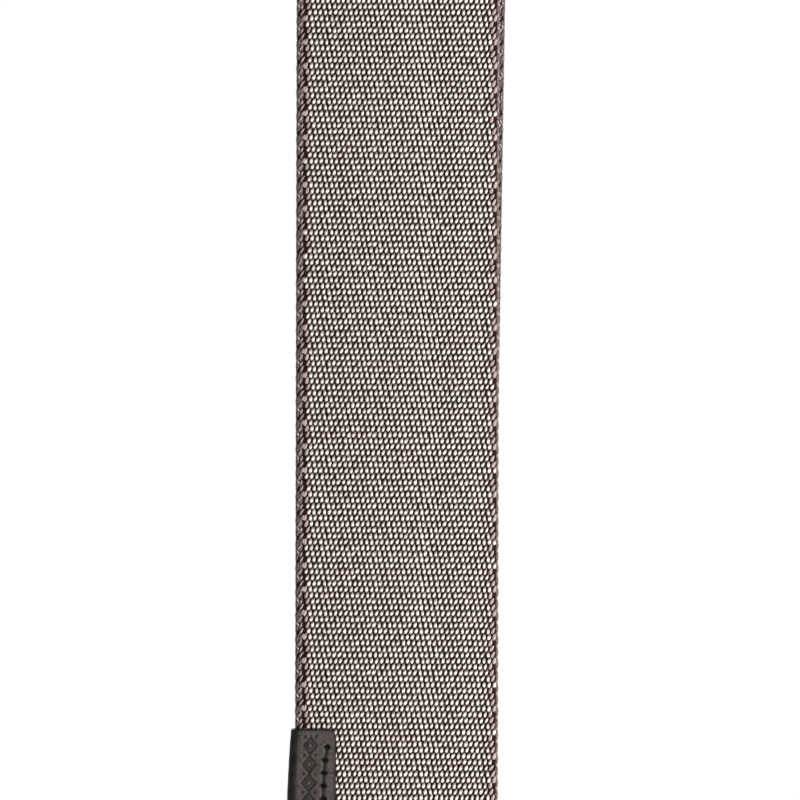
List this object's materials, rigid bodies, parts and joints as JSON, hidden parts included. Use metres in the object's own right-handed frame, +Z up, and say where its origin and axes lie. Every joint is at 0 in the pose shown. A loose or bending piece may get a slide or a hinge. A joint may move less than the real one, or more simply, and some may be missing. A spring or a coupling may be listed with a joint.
{
  "type": "guitar strap",
  "caption": "Adjustable woven guitar strap, shown doubled over a peg, with a metal slider and ring, leather ends with button holes and a folded leather tag.",
  "frame": {"origin": "centre of the round peg that the strap hangs over, halfway between its two runs", "axes": "+Z up, along the hanging runs; -Y is the way the outer face of the adjustable run looks; X is across the webbing"},
  "size_m": [0.0625, 0.0399, 0.703],
  "materials": {
    "webbing": "woven, pale and dark brown yarn",
    "leather": "black, smooth grain",
    "thread": "waxed black thread",
    "metal": "satin black"
  },
  "bodies": {
    "strap_body": {"webbing_main": "webbing", "webbing_lower_run": "webbing", "front_tab_outer": "leather", "front_tab_inner": "leather", "front_tab_edge_needle_thread": "thread", "front_tab_edge_bobbin_thread": "thread", "front_tab_box_needle_thread": "thread", "front_tab_box_bobbin_thread": "thread", "tag": "leather", "tag_needle_thread": "thread", "tag_bobbin_thread": "thread"},
    "doubled_loop": {"webbing_turn": "webbing", "webbing_return": "webbing"},
    "slider": {"slider_frame": "metal", "webbing_tail": "webbing", "tail_needle_thread": "thread", "tail_bobbin_thread": "thread"},
    "ring": {"ring": "metal"},
    "rear_end": {"rear_loop_webbing": "webbing", "rear_tab_outer": "leather", "rear_tab_inner": "leather", "rear_tab_edge_needle_thread": "thread", "rear_tab_edge_bobbin_thread": "thread", "rear_tab_box_needle_thread": "thread", "rear_tab_box_bobbin_thread": "thread"}
  },
  "joints": [
    {"name": "length_adjust", "type": "slide", "parent": "strap_body", "child": "doubled_loop", "axis": [0, 0, 1], "range_m": [-0.04, 0.035], "deforming": ["webbing_lower_run"]},
    {"name": "slider_travel", "type": "slide", "parent": "doubled_loop", "child": "slider", "axis": [0, 0, 1], "range_m": [-0.04, 0.035], "deforming": ["webbing_return"]},
    {"name": "ring_swing", "type": "hinge", "parent": "doubled_loop", "child": "ring", "pos_m": [0, -0.0127, -0.53], "axis": [1, 0, 0], "range_deg": [-70, 70]},
    {"name": "rear_end_swing", "type": "hinge", "parent": "ring", "child": "rear_end", "pos_m": [0, -0.0127, -0.55], "axis": [1, 0, 0], "range_deg": [-75, 75]}
  ],
  "couplings": [
    {"joint": "slider_travel", "follows": "length_adjust", "ratio": 1}
  ]
}
